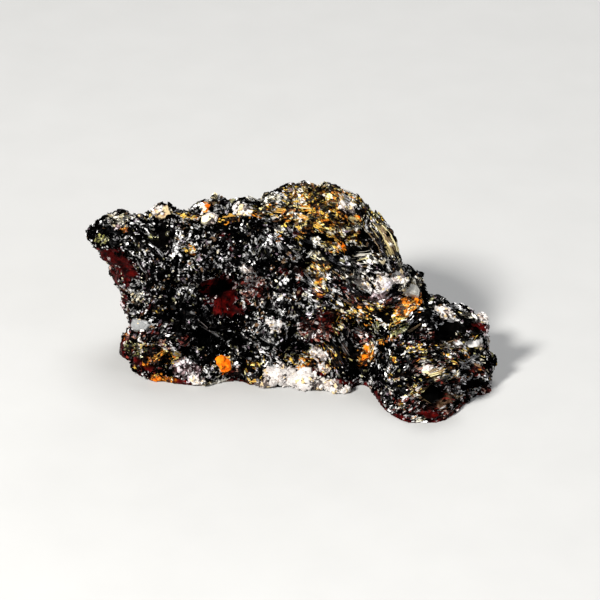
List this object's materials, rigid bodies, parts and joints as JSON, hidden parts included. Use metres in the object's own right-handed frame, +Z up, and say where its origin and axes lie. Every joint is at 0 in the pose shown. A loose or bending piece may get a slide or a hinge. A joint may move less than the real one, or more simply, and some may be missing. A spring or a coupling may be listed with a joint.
{
  "type": "specular hematite specimen",
  "caption": "Rough hand specimen of black, flaky specular hematite with ochre stains and white crystals, resting on a flat base.",
  "frame": {"origin": "middle of the bounding box at the flat base the specimen rests on", "axes": "+X along the specimen's length towards its low lobe, +Z up, -Y towards the viewer of its main face"},
  "size_m": [0.1014, 0.0519, 0.0488],
  "materials": {
    "specular_hematite": "glittering near-black flakes with ochre, dark red and white patches"
  },
  "bodies": {
    "root": {"hematite_specimen": "specular_hematite"}
  },
  "joints": []
}
